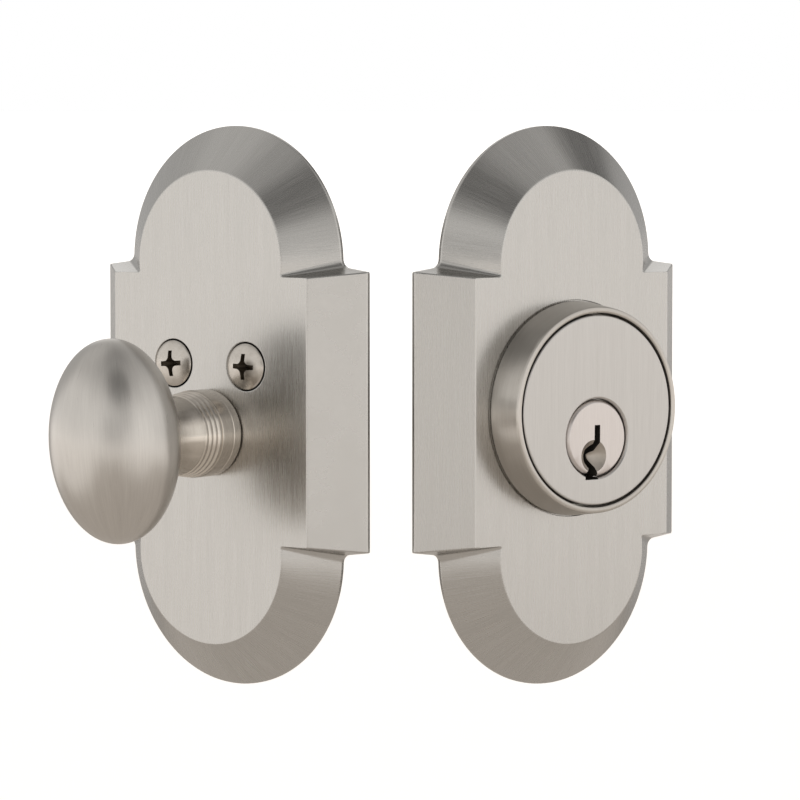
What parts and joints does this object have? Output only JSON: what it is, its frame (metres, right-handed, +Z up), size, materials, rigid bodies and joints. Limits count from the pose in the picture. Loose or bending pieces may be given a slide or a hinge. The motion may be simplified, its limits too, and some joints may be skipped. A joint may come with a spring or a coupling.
{
  "type": "deadbolt door lock",
  "caption": "Deadbolt lock with bevelled arch-ended plates, an egg thumbturn, a key cylinder in a tapered collar and a sliding bolt latch.",
  "frame": {"origin": "centre of the exterior plate's back face, on the cylinder housing's axis, where the plate bears on the door", "axes": "+Z up; +Y from the front of the plates to the back, along the bolt's throw; +X to the right seen from the front. Each plate faces 37.8 degrees outwards from -Y."},
  "size_m": [0.1058, 0.1424, 0.0956],
  "materials": {
    "satin_nickel": "satin brushed nickel plate",
    "nickel_face": "fine vertical brushed nickel plate",
    "nickel_plug": "fine brushed nickel plate",
    "nickel_screws": "smooth satin nickel plate",
    "zinc_steel": "zinc-plated pressed steel",
    "hard_steel": "ground hardened steel",
    "brass": "turned brass",
    "nylon": "moulded nylon"
  },
  "bodies": {
    "lock": {"exterior_plate": "satin_nickel", "cylinder_collar": "satin_nickel", "cylinder_housing": "nickel_face", "driver_pins": "zinc_steel", "pin_springs": "zinc_steel", "chamber_cover": "brass", "housing_clip": "zinc_steel", "mounting_posts": "zinc_steel", "interior_plate": "satin_nickel", "spindle_bushing": "nylon", "wave_washer": "zinc_steel", "support_plate": "zinc_steel", "mounting_screws": "nickel_screws", "latch_faceplate": "satin_nickel", "latch_backplate": "zinc_steel", "latch_tube": "zinc_steel", "latch_case_left": "zinc_steel", "latch_case_right": "zinc_steel", "case_rivets": "zinc_steel", "faceplate_screws": "nickel_screws"},
    "thumbturn": {"thumbturn_knob": "satin_nickel", "thumbturn_stem": "satin_nickel", "stem_clip": "zinc_steel", "drive_hub": "zinc_steel", "hub_pin": "zinc_steel"},
    "plug": {"cylinder_plug": "nickel_plug", "key_pins": "brass", "plug_cap": "brass"},
    "tail": {"tailpiece": "zinc_steel"},
    "hub": {"latch_hub": "zinc_steel"},
    "bolt": {"bolt": "satin_nickel", "bolt_insert": "hard_steel", "bolt_tail": "zinc_steel", "tail_pin": "zinc_steel", "drive_pin": "hard_steel"}
  },
  "joints": [
    {"name": "thumbturn_turn", "type": "hinge", "parent": "lock", "child": "thumbturn", "pos_m": [-0.05225, 0, -0.00415], "axis": [0.6129, 0.7902, 0], "range_deg": [0, 98.2]},
    {"name": "plug_turn", "type": "hinge", "parent": "lock", "child": "plug", "pos_m": [0, 0, -0.00475], "axis": [0.6129, -0.7902, 0], "range_deg": [-90, 90]},
    {"name": "tailpiece_turn", "type": "hinge", "parent": "lock", "child": "tail", "pos_m": [0, 0, -0.00475], "axis": [0.6129, -0.7902, 0], "range_deg": [0, 98.2]},
    {"name": "hub_turn", "type": "hinge", "parent": "lock", "child": "hub", "pos_m": [0.009, 0.046, -0.00475], "axis": [-1, 0, 0], "range_deg": [0, 98.2]},
    {"name": "bolt_slide", "type": "slide", "parent": "lock", "child": "bolt", "axis": [0, 1, 0], "range_m": [0, 0.0254]}
  ],
  "couplings": [
    {"joint": "tailpiece_turn", "follows": "thumbturn_turn", "ratio": 1},
    {"joint": "hub_turn", "follows": "thumbturn_turn", "ratio": 1},
    {"joint": "bolt_slide", "follows": "thumbturn_turn", "m_per_rad": 0.014819}
  ]
}
